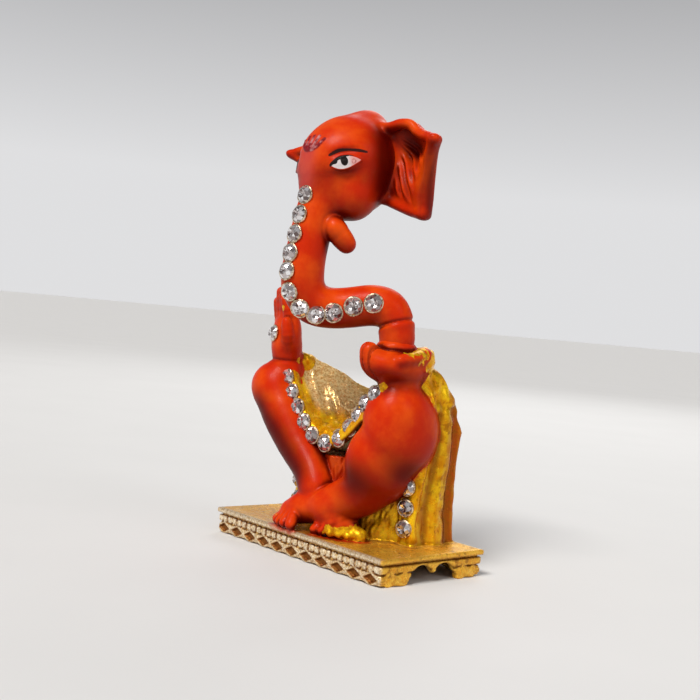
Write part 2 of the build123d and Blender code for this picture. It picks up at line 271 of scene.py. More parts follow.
EAR_EDGE = [
    (4.2, 75.6), (9.2, 76.9), (11.6, 77.0), (13.2, 75.7), (15.4, 74.8), (19.3, 73.4), (17.6, 71.4),
    (16.6, 69.4), (16.0, 67.0), (15.4, 64.6), (15.0, 62.4), (15.0, 60.4), (14.0, 60.2), (12.7, 60.7),
    (9.7, 61.8), (4.6, 63.2),
]
EAR_TIP = (19.1, -5.2, 72.9, 0.65)
EAR_LOBE = (14.6, -1.8, 61.1, 0.8)
EAR_TOP = [
    (4.4, -3.6, 75.4, 1.5), (7.2, -4.0, 75.8, 1.0), (9.6, -4.2, 76.2, 0.9), (11.7, -3.9, 76.0, 0.9),
    (13.3, -3.7, 74.8, 0.85), (15.4, -4.0, 73.9, 0.85), (17.4, -4.6, 73.4, 0.8), EAR_TIP,
]
EAR_SIDE = [EAR_TIP, (17.2, -4.2, 70.9, 0.8), (15.9, -3.0, 67.6, 0.8), (15.1, -2.0, 63.8, 0.75), EAR_LOBE]
EAR_FOOT = [EAR_LOBE, (12.4, -1.9, 61.3, 0.8), (9.4, -2.6, 62.4, 0.85), (7.0, -3.2, 63.4, 0.9)]
RIB_ROOT = (0.5, 77.0)
RIB_PITCH = 6.6  # degrees


def ear_ribs(x, z, flat):
    """Ribs that fan out from the root of the ear and fade towards its edges."""
    across, up = x - RIB_ROOT[0], z - RIB_ROOT[1]
    turn = np.degrees(np.arctan2(up, across)) + 1.3 * (np.sqrt(across ** 2 + up ** 2) - 13.0)
    fade = smooth(turn, -58, -51) * smooth(turn, -19, -27) * smooth(flat, -1.2, -3.0) * smooth(x, 8.2, 10.2)
    ribs = np.sin(turn * math.tau / RIB_PITCH)
    ribs *= fade
    return ribs


def left_ear(p):
    """A thin ribbed plate inside a rolled rim."""
    x, y, z = p
    flat = polygon(x, z, EAR_EDGE) + 0.35
    middle = -2.6 - 2.7 * smooth(x, 14.5, 19.8) * smooth(z, 68.0, 73.5) + 0.7 * smooth(z, 66.0, 61.0)
    dent = 2.6 * np.exp(-((x - 11.4) / 3.0) ** 2 - ((z - 72.4) / 3.2) ** 2)
    middle = middle + dent - 0.32 * ear_ribs(x, z, flat)
    d = common(flat, np.abs(y - middle) * 0.86 - 0.8, 0.7)
    for rim in (EAR_TOP, EAR_SIDE, EAR_FOOT):
        d = blend(d, chain(p, rim, 3, 0.0), 0.9)
    thick = [(x - 0.3, y + 1.2, z, r * 0.9) for x, y, z, r in EAR_SIDE]
    return blend(d, chain(p, thick, 3, 0.0), 1.2)


def right_ear(p):
    """The left ear mirrored, with its lower half drawn in and back behind the brow."""
    x, y, z = mirrored(p)
    tuck = smooth(z, 72.8, 69.0)
    return left_ear((x + 1.6 * tuck, y - 1.0 * tuck, z + 0.5))


def left_tusk(p):
    socket = ball(p, (3.7, -12.0, 57.7), 1.85)
    ring = ball(p, (4.3, -11.7, 57.0), 1.9)
    blade = chain(p, [(4.1, -11.9, 57.2, 1.8), (4.8, -11.0, 56.0, 1.85), (5.3, -10.2, 55.0, 1.65)], 2, 0.2)
    return blend(blend(socket, ring, 0.7), blade, 0.35)


def right_tusk(p):
    return left_tusk(mirrored(p))


# ---- Limbs ----
def left_leg(p):
    d = egg(p, (10.8, -2.5, 18.2), (5.4, 7.1, 7.4))
    d = blend(d, egg(p, (13.2, -1.0, 23.8), (5.5, 7.4, 8.0)), 1.2)
    d = blend(d, ball(p, (13.0, -2.6, 27.6), 4.3), 2.5)
    return blend(d, rod(p, (8.8, -4.6, 12.6), (3.4, -6.9, 9.2), 4.0, 3.7), 1.8)


def right_leg(p):
    shin = chain(p, [(-15.4, -6.5, 28.6, 4.3), (-11.8, -6.8, 24.0, 4.1), (-7.7, -6.5, 19.2, 3.7),
                     (-3.2, -6.3, 15.0, 3.3), (-0.6, -6.8, 11.8, 3.3)], 3, 0.6)
    return blend(shin, rod(p, (-15.4, -6.5, 28.6), (-11.2, 2.6, 23.0), 4.3, 4.6), 1.6)


def toes(p, tips, root, radius):
    """Toes that fan out from a point inside the foot, the first one the biggest."""
    shapes = []
    for index, tip in enumerate(tips):
        size = radius * (1.18 if index == 0 else 1.0 - 0.05 * index)
        bend = [root[i] + (tip[i] - root[i]) * 0.55 for i in range(3)]
        bend[2] += 0.55
        shapes.append(chain(p, [(*root, size * 0.9), (*bend, size), (*tip, size * 0.92)], 3, 0.2))
    return join(shapes, 0.22)


def left_foot(p):
    d = rod(p, (2.4, -7.2, 9.2), (-2.0, -8.6, 8.2), 3.1, 2.6)
    d = blend(d, rod(p, (-2.0, -8.6, 8.2), (-3.9, -9.4, 7.3), 2.6, 2.2), 1.0)
    places = ((-0.6, -12.3), (-2.3, -12.5), (-3.8, -12.3), (-5.2, -11.8), (-6.4, -11.0))
    tips = [(x, y, 5.7) for x, y in places]
    return blend(d, toes(p, tips, (-2.6, -8.9, 7.8), 0.88), 0.5)


def right_foot(p):
    d = rod(p, (0.8, -6.4, 8.8), (5.4, -6.6, 7.6), 3.3, 3.0)
    d = blend(d, rod(p, (5.0, -6.4, 6.6), (9.6, -5.2, 5.4), 2.3, 1.3), 1.6)
    tips = [(3.4, -10.0, 5.5), (4.9, -9.7, 5.5), (6.3, -9.1, 5.5), (7.6, -8.2, 5.4), (8.7, -7.2, 5.3)]
    d = blend(d, toes(p, tips, (4.6, -6.6, 6.9), 0.84), 0.6)
    return d + 0.07 * grain(p, 1.5, 41) * smooth(p[0], 3.0, 6.0)


FINGER_PITCH = 1.25
RIGHT_FINGERS = ((1.7, 44.9, 1.1), (0.2, 46.5, 1.15), (-1.35, 46.2, 1.13), (-2.75, 44.4, 1.05))


def left_hand(p):
    """The cupped hand, palm up, with slots between its fingers."""
    d = egg(p, (12.6, -3.2, 34.9), (4.5, 6.2, 3.0), (-6, 0, 0))
    d = blend(d, rod(p, (12.8, -2.0, 31.0), (12.8, -1.8, 34.0), 3.0, 2.8), 2.0)
    d = carve(d, egg(p, (12.0, -3.6, 39.3), (3.0, 4.2, 2.2)), 0.9)
    fingers = chain(p, [(12.0, -5.6, 34.6, 2.3), (11.9, -7.6, 35.6, 2.1), (11.6, -8.6, 37.4, 1.45)], 3, 0.5)
    d = blend(d, fingers, 0.9)
    across = p[0] - 11.7
    slot = smooth(np.cos(across * math.tau / FINGER_PITCH), 0.55, 1.0)
    d = d + 0.28 * slot * (smooth(p[1], -6.2, -7.6) * smooth(np.abs(across), 2.2, 1.7))
    thumb = chain(p, [(9.6, -1.4, 35.6, 1.4), (8.6, -4.0, 36.4, 1.25), (9.0, -6.2, 37.4, 1.0)], 3, 0.4)
    rim = chain(p, [(16.4, -5.6, 36.2, 0.9), (16.6, -2.4, 36.7, 1.0), (15.6, 0.6, 37.1, 1.1)], 3, 0.4)
    return blend(blend(d, thumb, 0.5), rim, 0.8)


def right_hand(p):
    """The raised hand; its fingers are given by place across the palm, height and radius."""
    q = local(p, (-14.3, -6.3, 0), (0, 0, -14))
    palm = egg(q, (-0.1, 0.3, 38.0), (3.9, 2.5, 5.3))
    d = blend(palm, rod(q, (0.8, 0.9, 31.5), (0.4, 0.5, 35.4), 2.5, 2.4), 1.8)
    for x, top, size in RIGHT_FINGERS:
        stops = [(x * 0.9, 0.3, 38.5, size * 1.1), (x, -0.2, 42.0, size * 1.08),
                 (x * 0.8 - 0.3, -0.9, top, size * 0.9)]
        d = blend(d, chain(q, stops, 3, 0.2), 0.4)
    thumb = chain(q, [(2.2, -0.2, 36.0, 1.3), (3.1, -0.9, 38.4, 1.15), (2.9, -1.3, 40.8, 0.9)], 3, 0.3)
    return blend(d, thumb, 0.35) + 0.22 * np.exp(-((q[2] - 33.6) / 0.35) ** 2)


def left_cuff(p):
    d = egg(p, (14.7, 0.8, 36.3), (2.2, 2.7, 2.2), (20, 0, 0))
    return d + 0.14 * grain(p, 1.7, 6)


def right_cuff(p):
    d = egg(p, (-13.2, -2.2, 32.7), (1.7, 2.0, 2.5), (0, 18, 0))
    return d + 0.12 * grain(p, 1.6, 7)


def sweet(p):
    return egg(p, (12.2, -2.9, 38.2), (3.3, 3.5, 1.6)) - 0.04 * grain(p, 1.6, 5)


# ---- Robe ----
LAP_SLOPE = math.tan(math.radians(28.0))
LAP_FRONT = -6.4
LAP_HALF = 13.6
LAP_LOW = 19.6
LAP_THICK = 2.0
RIM_SLOPE = math.tan(math.radians(32.0))
FOLD_FOOT = PLINTH_TOP - 2.8


def lap_height(p):
    """The lower face of the lap cloth, sagging in the middle and rising to the rear."""
    wide = np.clip(p[0], -LAP_HALF, LAP_HALF) ** 2
    return LAP_LOW + 0.0749 * wide - 8.37e-5 * wide * wide + (p[1] - LAP_FRONT) * LAP_SLOPE


def under_rim(p):
    """Negative below the wavy, sloping top edge of the robe."""
    wave = 0.5 * np.sin(p[0] * 0.55 + 0.8) + 0.3 * np.sin(p[0] * 1.27)
    return (p[2] - 34.2 + RIM_SLOPE * p[1] - wave * 0.6) * 0.85


def lap_folds(p):
    """Pleats that fall into the middle of the lap, with a fold lying across them."""
    fan = np.arctan2(p[0] - 0.6, p[1] + 15.0)
    fan_pleats = np.sin(fan * 26.0 + 0.5 * np.sin(p[1] * 0.8))
    ridge_line = p[1] + 1.9 + 0.32 * p[0] + 0.6 * np.sin(p[0] * 0.5)
    ridge = np.exp(-(ridge_line / 0.55) ** 2) * smooth(p[0], 6.5, 3.0) * smooth(p[0], -9.5, -6.0)
    hem = np.exp(-((p[1] + 5.3) / 0.8) ** 2)
    crease = 1.0 - 2.0 * np.abs(np.sin(0.75 * p[0] + 1.25 * p[1] + 0.9 * np.sin(0.8 * p[2] + 0.5 * p[0])))
    crinkle = 0.22 * crease * (0.5 + 0.5 * grain(p, 4.0, 31)) + 0.10 * grain(p, 1.5, 32)
    folds = 0.2 * fan_pleats * smooth(p[1], 4.0, -3.0) + 0.75 * ridge + 0.3 * hem
    return folds + crinkle * smooth(p[1], -5.6, -4.4)


GARLAND = [
    (-13.3, -7.0, 33.2), (-10.9, -7.4, 30.0), (-8.5, -7.4, 26.8), (-6.2, -7.4, 24.0), (-4.2, -7.2, 21.9),
    (-2.2, -6.9, 20.5), (-0.2, -6.4, 20.0), (1.8, -5.9, 20.7), (3.8, -5.5, 22.3), (5.8, -5.4, 24.3),
    (7.8, -5.7, 26.7), (9.8, -6.2, 28.6), (11.8, -6.4, 30.0),
]


SEAT_TOP = 18.0
ROBE_BACK = [
    (-14.5, 14.5, 2.2, 11.6, FOLD_FOOT), (-14.1, 14.1, 2.2, 11.5, 16.0), (-13.9, 13.9, 2.2, 11.0, 24.0),
    (-13.5, 13.5, 1.2, 9.0, 36.5),
]


def above_lap(p, low):
    """Height above the upper face of the lap cloth, whose lower face is at low."""
    return p[2] - low - LAP_THICK - lap_folds(p)


def lap_cloth(p):
    """The cloth that sags between the knees, with a rolled front edge under the garland."""
    low = lap_height(p)
    sheet = np.maximum(low - p[2], above_lap(p, low)) * 0.82
    ends = np.maximum(np.maximum(LAP_FRONT - p[1], p[1] - 2.4), np.abs(p[0]) - LAP_HALF)
    d = common(np.maximum(sheet, under_rim(p)), ends, 0.8)
    edge = chain(p, [(x, y + 1.1, z + 0.1, 0.95) for x, y, z in GARLAND], 3, 0.3)
    return blend(d, edge, 0.8)


def robe_back(p):
    """The fluted rear wall, hollowed above by the lap."""
    lean = p[0] * (1.0 + 0.012 * (p[2] - 20.0)) + 0.5 * np.sin(p[2] * 0.21)
    flutes = 0.75 * np.sin(lean * 0.92 + 0.6) + 0.35 * np.sin(lean * 2.1 + 1.0) + 0.22 * grain(p, 3.0, 34)
    flutes = flutes * smooth(p[1], 6.0, 9.5) * smooth(np.abs(p[0]), 14.2, 12.0)
    d = column((p[0], p[1] - flutes * 0.75 + 0.6, p[2]), ROBE_BACK, 3.0)
    belly = above_lap(p, lap_height(p)) * 0.82
    return common(d, np.maximum(belly, under_rim(p)), 0.9)


def robe_seat(p):
    """The crinkled lower robe under the shins; it steps back between them."""
    wide = p[0] ** 2
    front = -3.8 + 0.0228 * wide + 6.2e-5 * wide * wide
    up = smooth(p[2], PLINTH_TOP, SEAT_TOP)
    crinkle = 0.3 * grain((p[0], p[1], p[2] * 0.3), 2.0, 35) + 0.14 * grain((p[0], p[1], p[2] * 0.5), 1.0, 36)
    flare = 0.9 * smooth(p[2], 8.5, PLINTH_TOP)
    between = 2.6 * np.exp(-((p[0] - 1.0) / 4.0) ** 2) * smooth(p[2], 7.0, 10.5)
    d = (front + 0.8 * up - flare - between - crinkle - p[1]) * 0.8
    d = np.maximum(d, np.abs(p[0]) - 13.5)
    return np.maximum(np.maximum(d, p[1] - 3.2), np.maximum(PLINTH_TOP - 0.6 - p[2], p[2] - SEAT_TOP))


# Plans (x0, x1, y0, y1) at rising heights.
LEFT_DRAPE = [
    (12.6, 17.2, 0.4, 11.6, FOLD_FOOT), (12.7, 16.7, 0.4, 11.5, 6.4), (12.8, 16.3, 0.4, 11.5, 9.0),
    (13.0, 16.2, 0.7, 11.5, 16.0), (13.2, 16.6, 1.6, 11.5, 24.0), (13.0, 16.4, 1.2, 9.5, 30.0),
    (12.9, 15.2, 0.8, 5.6, 35.4),
]
RIGHT_DRAPE = [
    (-17.2, -12.6, 0.4, 11.6, FOLD_FOOT), (-16.7, -12.7, 0.4, 11.5, 6.4), (-16.3, -12.8, 0.4, 11.5, 9.0),
    (-16.1, -13.0, 0.6, 11.4, 16.0), (-16.1, -13.0, 0.6, 10.8, 24.0), (-15.9, -12.8, -0.6, 7.6, 30.0),
    (-15.1, -12.4, -2.2, 2.2, 34.2),
]


LEFT_SEED, RIGHT_SEED = 1.0, 2.3


def pleats(p, seed):
    """Long rounded pleats, 1 on a crest and -1 in a groove."""
    sway = 0.7 * np.sin(p[2] * 0.16 + seed) + 0.15 * np.sin(p[2] * 0.47 + 2 * seed)
    fan = (p[1] - 6.0) * (1.0 + 0.02 * (p[2] - 14.0)) + sway
    return (0.82 * np.sin(fan * 1.2 + 0.6) + 0.18 * np.sin(fan * 2.9 + 1.4)) * smooth(p[2], 34.0, 24.0)


def drape(p, sections, seed):
    """A bundle of hanging folds along its outer and rear faces."""
    pleat = 0.95 * pleats(p, seed) - 0.4
    dimple = (0.08 + 0.16 * smooth(p[2], 24.0, 29.0)) * grain(p, 2.3, 21 + int(seed))
    side = 1.0 if sections[0][0] > 0 else -1.0
    q = (p[0] - side * (0.62 * pleat + dimple), p[1] + 0.12 * np.sin(p[0] * 1.9 + 0.16 * p[2]), p[2])
    return column(q, sections, 1.5) * 0.86


def left_drape(p):
    return drape(p, LEFT_DRAPE, LEFT_SEED)


def right_drape(p):
    return drape(p, RIGHT_DRAPE, RIGHT_SEED)


# ---- Plinth ----
PLINTH = (46.0, 24.4)
HALF_X, HALF_Y = PLINTH[0] / 2, PLINTH[1] / 2
LIP_FOOT = 3.72
BARS_FOOT, BARS_TOP = 2.15, 3.38
FRIEZE_TOP = 2.12
FRIEZE_LENGTH = PLINTH[0] - 0.7
BARS = 15
DIAMONDS = 11
WALL = 1.6
END_DEPTH = 12.0  # the arches cut only the ends, outside this distance from the middle
ARCH_MIDDLES = (-2.3, 2.9)


def from_middle(x, count):
    """0 in the middle of each of count bays along the plinth, 0.5 at their edges."""
    along = (x + HALF_X) / (FRIEZE_LENGTH / count)
    return np.abs(along - np.floor(along) - 0.5)


def diamond(x, z):
    """Below 1 inside the lozenges of the long frieze, 0 at their middles."""
    return from_middle(x, DIAMONDS) / 0.47 + np.abs(z - 1.05) / 0.95


def slab(p, inset, low, high, corner):
    """A rounded slab set in from the plinth's outline."""
    return brick(p, (inset - HALF_X, inset - HALF_Y, low), (HALF_X - inset, HALF_Y - inset, high), corner)


def plinth(p):
    """A dished, lipped top over a row of bars and a frieze; hollow below, with arches in its ends."""
    x, y, z = p
    long_side = smooth(np.abs(y) - HALF_Y, -2.2, -1.4)
    dish = 0.22 * smooth(np.abs(y), 11.8, 8.0) * smooth(np.abs(x), 22.6, 18.0)
    lip = np.maximum(slab(p, 0.0, LIP_FOOT, PLINTH_TOP, 0.28), z - PLINTH_TOP + dish)
    pitch = FRIEZE_LENGTH / BARS
    cell = from_middle(x, BARS) * pitch
    gap = 0.42 * smooth(cell, pitch * 0.40, pitch * 0.47) + 0.22 * smooth(cell, 0.30, 0.12)
    bars = slab(p, 0.3, BARS_FOOT, BARS_TOP, 0.25)
    bars = bars + gap * long_side * smooth(np.abs(x), HALF_X - 1.2, HALF_X - 1.6)
    rhomb = diamond(x, z)
    frieze = slab(p, 0.32, 0.0, FRIEZE_TOP, 0.3)
    frieze = frieze + (0.6 * smooth(rhomb, 1.0, 0.55) + 0.2 * smooth(rhomb, 1.1, 1.6)) * long_side
    scroll = 0.26 * np.sin(y * 1.15 + 1.6 * np.sin(z * 1.3)) * np.sin(z * 2.1 + 0.7 * y)
    frieze = frieze + scroll * (1.0 - long_side) * smooth(np.abs(x), HALF_X - 2.0, HALF_X - 1.0)
    body = blend(blend(frieze, bars, 0.12), slab(p, 0.8, 0.6, 4.2, 0.1), 0.12)
    d = carve(blend(body, lip, 0.15), slab(p, WALL, -2.0, 3.0, 0.4), 0.2)
    ends = END_DEPTH - np.abs(x)
    for middle in ARCH_MIDDLES:
        arch = np.sqrt((y - middle) ** 2 + (z - 0.25) ** 2) - 2.7
        d = carve(d, np.maximum(arch, ends), 0.5)
    gate = np.maximum(np.abs(y - 0.3) - 5.6, z - 1.1)
    return carve(d, np.maximum(gate, ends), 0.6)


# ---- Surface net ----
CORNERS = [(i, j, k) for i in (0, 1) for j in (0, 1) for k in (0, 1)]
EDGES = [(a, b) for a in range(8) for b in range(a)
         if sum(u != v for u, v in zip(CORNERS[a], CORNERS[b])) == 1]


def surface_net(value, low, step):
    """Vertices and quads of the zero surface of a sampled field."""
    inside = value < 0
    cells = tuple(n - 1 for n in value.shape)
    count = np.zeros(cells, dtype=np.int8)
    for i, j, k in CORNERS:
        count += inside[i:i + cells[0], j:j + cells[1], k:k + cells[2]]
    active = (count > 0) & (count < 8)
    index = np.full(cells, -1, dtype=np.int64)
    place = np.argwhere(active)
    index[active] = np.arange(len(place))
    corner = [value[place[:, 0] + i, place[:, 1] + j, place[:, 2] + k] for i, j, k in CORNERS]
    total = np.zeros((len(place), 3))
    hits = np.zeros(len(place))
    for a, b in EDGES:
        cross = (corner[a] < 0) != (corner[b] < 0)
        t = corner[a] / np.where(cross, corner[a] - corner[b], 1.0)
        point = np.array(CORNERS[a]) + t[:, None] * (np.array(CORNERS[b]) - np.array(CORNERS[a]))
        total += np.where(cross[:, None], point, 0.0)
        hits += cross
    vertices = np.array(low) + step * (place + total / hits[:, None])
    quads = []
    for axis in range(3):
        u, v = np.eye(3, dtype=int)[(axis + 1) % 3], np.eye(3, dtype=int)[(axis + 2) % 3]
        first = np.take(inside, range(value.shape[axis] - 1), axis)
        second = np.take(inside, range(1, value.shape[axis]), axis)
        edge = np.argwhere(first != second)
        ring = [index[tuple((edge - m).T)] for m in (u + v, v, 0 * u, u)]
        ring = np.stack(ring, axis=1)
        flip = ~first[tuple(edge.T)]
        ring[flip] = ring[flip][:, ::-1]
        quads.append(ring)
    return vertices, np.concatenate(quads)


def keep_largest(vertices, quads):
    """Only the biggest connected shell."""
    label = np.arange(len(vertices))
    while True:
        low = label[quads].min(axis=1)
        new = label.copy()
        np.minimum.at(new, quads.ravel(), np.repeat(low, 4))
        new = new[new]
        if (new == label).all():
            break
        label = new
    names, sizes = np.unique(label, return_counts=True)
    kept = label == names[sizes.argmax()]
    number = np.cumsum(kept) - 1
    return vertices[kept], number[quads[kept[quads[:, 0]]]]


# ---- Cast pieces ----
RED = ("left_leg", "right_leg", "left_foot", "right_foot", "left_hand", "right_hand")


def near_pieces(group, name):
    """The names, in the group's order, of the pieces whose boxes meet this one's."""
    low, high = group[name][2:4]
    return [n for n, (_, _, a, b, *_) in group.items()
            if all(a[i] < high[i] and b[i] > low[i] for i in range(3))]


def blended(group, fields):
    """Fields of a group's pieces, by name and in order, joined with each one's own softness."""
    whole = None
    for n, d in fields.items():
        whole = d if whole is None else blend(whole, d, group[n][1])
    return whole


def whole_field(group, names):
    return lambda p: blended(group, {n: group[n][0](p) for n in names})


def piece_field(group, name):
    """The field of one piece, cut from the blended field of its group."""
    names = near_pieces(group, name)

    def value(p):
        fields = {n: group[n][0](p) for n in names}
        whole = blended(group, fields)
        own = fields.pop(name)
        if not fields:
            return whole
        side = (own - join(fields.values(), 0.0)) / 2
        return np.maximum(whole + DIVE * np.clip(side / OVERLAP, 0.0, 1.0), side - OVERLAP)

    return value


def slope(value, vertices, reach):
    """The field's unit gradient at points, and the gradient's length."""
    base = value(tuple(vertices.T))
    rise = []
    for axis in range(3):
        moved = vertices.copy()
        moved[:, axis] += reach
        rise.append((value(tuple(moved.T)) - base) / reach)
    rise = np.stack(rise, axis=1)
    length = np.maximum(np.linalg.norm(rise, axis=1), 0.05)
    return base, rise / length[:, None], length


def add_object(name, data):
    """Puts a mesh, light or camera into the scene."""
    obj = bpy.data.objects.new(name, data)
    bpy.context.scene.collection.objects.link(obj)
    return obj


def mesh_object(name, vertices, faces, material, values):
    """A smooth object from points in millimetres, with per-point values for its material."""
    mesh = bpy.data.meshes.new(name)
    mesh.from_pydata((vertices * MM).tolist(), [], faces.tolist())
    mesh.shade_smooth()
    for key, value in values.items():
        layer = mesh.attributes.new(key, "FLOAT", "POINT")
        layer.data.foreach_set("value", np.asarray(value, dtype=np.float32))
    mesh.materials.append(material)
    return add_object(name, mesh)


PROBES = ((0.6, 0.3), (1.6, 0.35), (3.5, 0.35))  # how far each looks for open air, and its share
SKIN = 0.7  # how deep the ridge probe looks
CLEAR = 9.0  # stands for no red piece near


def meshed(value, low, high):
    """The zero surface of a field inside a box, pulled onto it by two Newton steps."""
    axes = [np.arange(low[i], high[i] + STEP, STEP, dtype=np.float32) for i in range(3)]
    grid = tuple(np.reshape(axes[i], [-1 if i == j else 1 for j in range(3)]) for i in range(3))
    sampled = np.array(np.broadcast_to(value(grid), [len(a) for a in axes]))
    for axis in range(3):
        edge = [slice(None)] * 3
        for side in (0, -1):
            edge[axis] = side
            sampled[tuple(edge)] = np.maximum(sampled[tuple(edge)], 0.05)
    vertices, quads = keep_largest(*surface_net(sampled, low, STEP))
    for _ in range(2):
        base, way, length = slope(value, vertices, 0.03)
        vertices = vertices - way * np.clip(base / length, -STEP, STEP)[:, None] * 0.9
    vertices[:, 2] = np.maximum(vertices[:, 2], 0.0)
    return vertices, quads


def shading_wear_and_spray(group, name, vertices):
    """Values for the materials: how hollow, ridged and downward a point is, which set painted shade and
    painted highlight, and how near to red pieces, for the red overspray.
    """
    names = near_pieces(group, name)
    whole = whole_field(group, names)
    way = slope(whole, vertices, 0.05)[1]
    hollow = 0.0
    for reach, share in PROBES:
        open_to = whole(tuple((vertices + way * reach).T))
        hollow = hollow + share * np.clip((reach - open_to) / reach, 0.0, 1.5)
    ridge = np.clip(-whole(tuple((vertices - way * SKIN).T)) / SKIN, 0.0, 1.0)
    red = [group[n][0](tuple(vertices.T)) for n in names if n in RED and n != name]
    return {
        "hollow": hollow,
        "ridge": 1.0 - ridge,
        "under": np.clip(0.35 - way[:, 2], 0.0, 1.35) / 1.35,
        "red_near": join(red, 0.0) if red else np.full(len(vertices), CLEAR),
    }


def sculpt(group, name):
    """Meshes one piece of a group, with its material and the values that paint it."""
    _, _, low, high, look, paint = group[name]
    vertices, quads = meshed(piece_field(group, name), low, high)
    values = shading_wear_and_spray(group, name, vertices)
    if paint:
        values.update(paint(vertices))
    return mesh_object(name + "_cast", vertices, quads, look, values)


# ---- Materials ----
class Graph:
    """A node material built step by step around one Principled shader."""

    def __init__(self, name, **sockets):
        self.material = bpy.data.materials.new(name)
        self.material.use_nodes = True
        self.tree = self.material.node_tree
        self.shader = self.tree.nodes["Principled BSDF"]
        self.place = self.add("ShaderNodeTexCoord").outputs["Object"]
        self.set(**sockets)

    def put(self, node, sockets):
        """Links or sets a node's inputs, given by number or by name with _ for a space."""
        for key, value in sockets.items():
            socket = node.inputs[key.replace("_", " ") if isinstance(key, str) else key]
            if isinstance(value, bpy.types.NodeSocket):
                self.tree.links.new(value, socket)
            else:
                socket.default_value = value
        return node

    def set(self, **sockets):
        self.put(self.shader, sockets)

    def add(self, kind, settings=None, **sockets):
        node = self.tree.nodes.new(kind)
        for key, value in (settings or {}).items():
            setattr(node, key, value)
        return self.put(node, sockets)

    def value(self, name):
        return self.add("ShaderNodeAttribute", {"attribute_name": name}).outputs["Fac"]

    def noise(self, size, detail=3.0, rough=0.55):
        """Noise with features of a size in millimetres."""
        return self.add("ShaderNodeTexNoise", Vector=self.place, Scale=1.0 / (size * MM), Detail=detail,
                        Roughness=rough).outputs["Fac"]

    def math(self, operation, a, b):
        node = self.add("ShaderNodeMath", {"operation": operation})
        return self.put(node, {0: a, 1: b}).outputs[0]

    def plus(self, a, b, size=1.0):
        """a and size times b."""
        return self.math("ADD", a, self.math("MULTIPLY", b, size))

    def swing(self, value, size):
        """A 0 to 1 value moved to swing about zero, and scaled."""
        return self.math("MULTIPLY", self.math("SUBTRACT", value, 0.5), size)

    def ease(self, value, low, high, start=0.0, end=1.0):
        """Maps low..high onto start..end with soft ends."""
        node = self.add("ShaderNodeMapRange", {"interpolation_type": "SMOOTHSTEP"}, Value=value,
                        From_Min=low, From_Max=high, To_Min=start, To_Max=end)
        return node.outputs["Result"]

    def mix(self, share, a, b):
        a, b = [c if isinstance(c, bpy.types.NodeSocket) else (*c, 1.0) for c in (a, b)]
        node = self.add("ShaderNodeMix", {"data_type": "RGBA"})
        return self.put(node, {"Factor": share, 6: a, 7: b}).outputs[2]

    def tint(self, colour, tone, value, low, high, share=1.0):
        """Lays a tone over a colour as a value eases from low to high."""
        return self.mix(self.ease(value, low, high, 0.0, share), colour, tone)

    def speckle(self, value, low, high, tones):
        """Two tones, one where the value is below low and the other above high."""
        return self.mix(self.ease(value, low, high), *tones)

    def bump(self, height, strength, distance):
        node = self.add("ShaderNodeBump", Height=height, Strength=strength, Distance=distance * MM)
        self.set(Normal=node.outputs["Normal"])


ENAMEL = (0.60, 0.022, 0.0005)
ENAMEL_WARM = (0.76, 0.075, 0.003)
ENAMEL_DEEP = (0.09, 0.001, 0.0)
INK = (0.012, 0.008, 0.008)
EYE_WHITE = (0.62, 0.56, 0.56)
EYE_PINK = (0.70, 0.28, 0.25)
MARK_RED = (0.20, 0.010, 0.018)
MARK_GLINT = (0.80, 0.36, 0.36)
EYE_RING = (0.35, 0.08, 0.07)
PINK_SHEEN = (0.50, 0.07, 0.07)
GOLD_DEEP = (0.28, 0.085, 0.002)
GOLD = (0.80, 0.31, 0.001)
GOLD_BRIGHT = (1.0, 0.60, 0.010)
DAB = ((0.55, 0.22, 0.004), GOLD_BRIGHT)
SAND = ((0.58, 0.28, 0.06), (1.0, 0.76, 0.36))
PALE = ((0.55, 0.42, 0.25), (0.92, 0.85, 0.68))
OVERSPRAY = ((0.52, 0.032, 0.002), (0.45, 0.014, 0.001))
RIM = ((0.34, 0.20, 0.10), (0.85, 0.74, 0.55))
FLOOR = ((0.74, 0.74, 0.74), (0.78, 0.78, 0.78))


